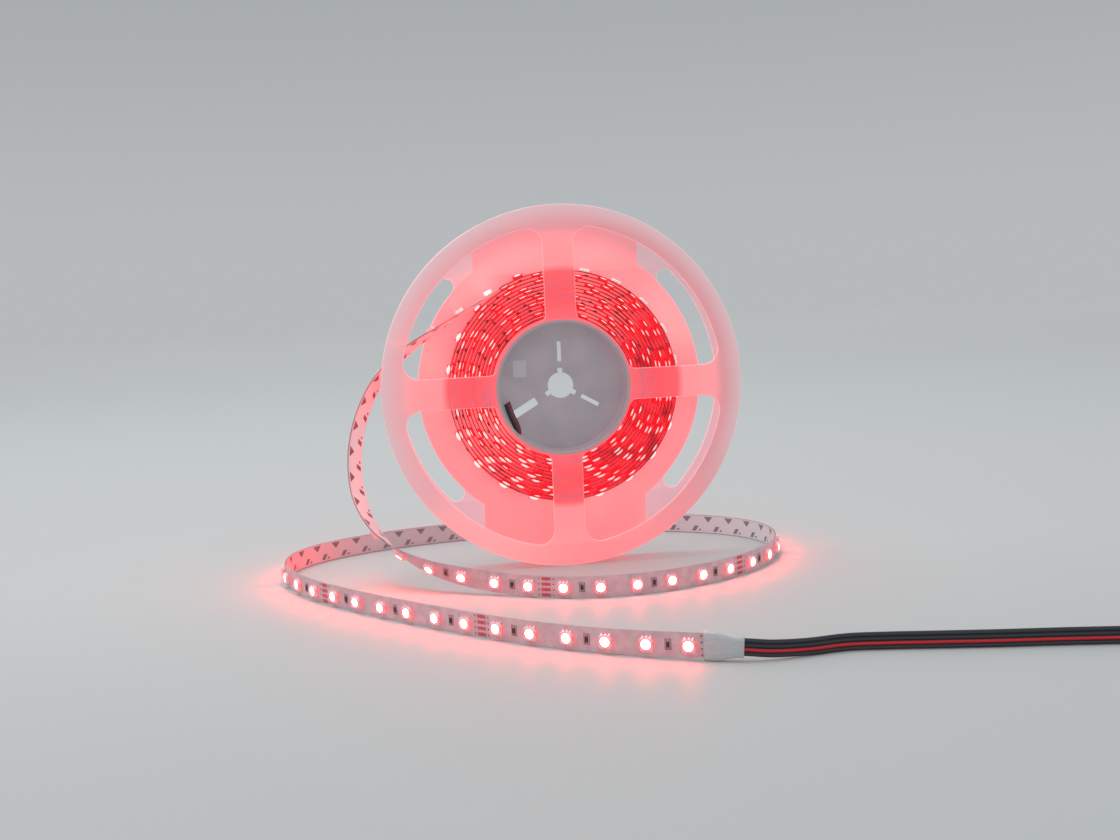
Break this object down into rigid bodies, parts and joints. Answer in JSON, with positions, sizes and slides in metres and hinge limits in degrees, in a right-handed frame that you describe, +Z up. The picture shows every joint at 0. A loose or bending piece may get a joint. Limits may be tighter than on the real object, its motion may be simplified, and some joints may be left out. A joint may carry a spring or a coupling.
{
  "type": "led strip light reel",
  "caption": "Translucent moulded reel of LED strip light, its free end laid in a loop on the floor and out to a four-core lead.",
  "frame": {"origin": "on the floor, in the middle of the narrow flat at the bottom of the front flange's rim", "axes": "+Z up, -Y the reel's open, spoked front face, +X to the right as seen from the front"},
  "size_m": [0.3647, 0.28, 0.1797],
  "materials": {
    "reel_plastic": "milky translucent moulded plastic, satin, lit pink from inside",
    "roll": "wound strip edges, lit red",
    "board": "white solder mask, satin",
    "liner": "silicone paper with grey marks, satin",
    "led": "white package with a glowing round lens",
    "sleeve": "milky heat-shrink tube",
    "lead": "soft plastic insulation, satin, one red core",
    "connector": "moulded black plastic"
  },
  "bodies": {
    "root": {"reel_front_half": "reel_plastic", "reel_rear_half": "reel_plastic", "strip_roll": "roll", "strip_board_upper": "board", "strip_board_lower": "board", "release_liner_upper": "liner", "release_liner_lower": "liner", "led_01": "led", "led_02": "led", "led_03": "led", "led_04": "led", "led_05": "led", "led_06": "led", "led_07": "led", "led_08": "led", "led_09": "led", "led_10": "led", "led_11": "led", "led_12": "led", "led_13": "led", "led_14": "led", "led_15": "led", "led_16": "led", "led_17": "led", "led_18": "led", "led_19": "led", "led_20": "led", "led_21": "led", "led_22": "led", "led_23": "led", "led_24": "led", "led_25": "led", "led_26": "led", "led_27": "led", "led_28": "led", "led_29": "led", "led_30": "led", "led_31": "led", "led_32": "led", "led_33": "led", "led_34": "led", "led_35": "led", "led_36": "led", "led_37": "led", "led_38": "led", "led_39": "led", "led_40": "led", "led_41": "led", "led_42": "led", "led_43": "led", "led_44": "led", "heat_shrink_sleeve": "sleeve", "lead_ribbon": "lead", "lead_connector": "connector", "inner_lead": "lead"}
  },
  "joints": []
}
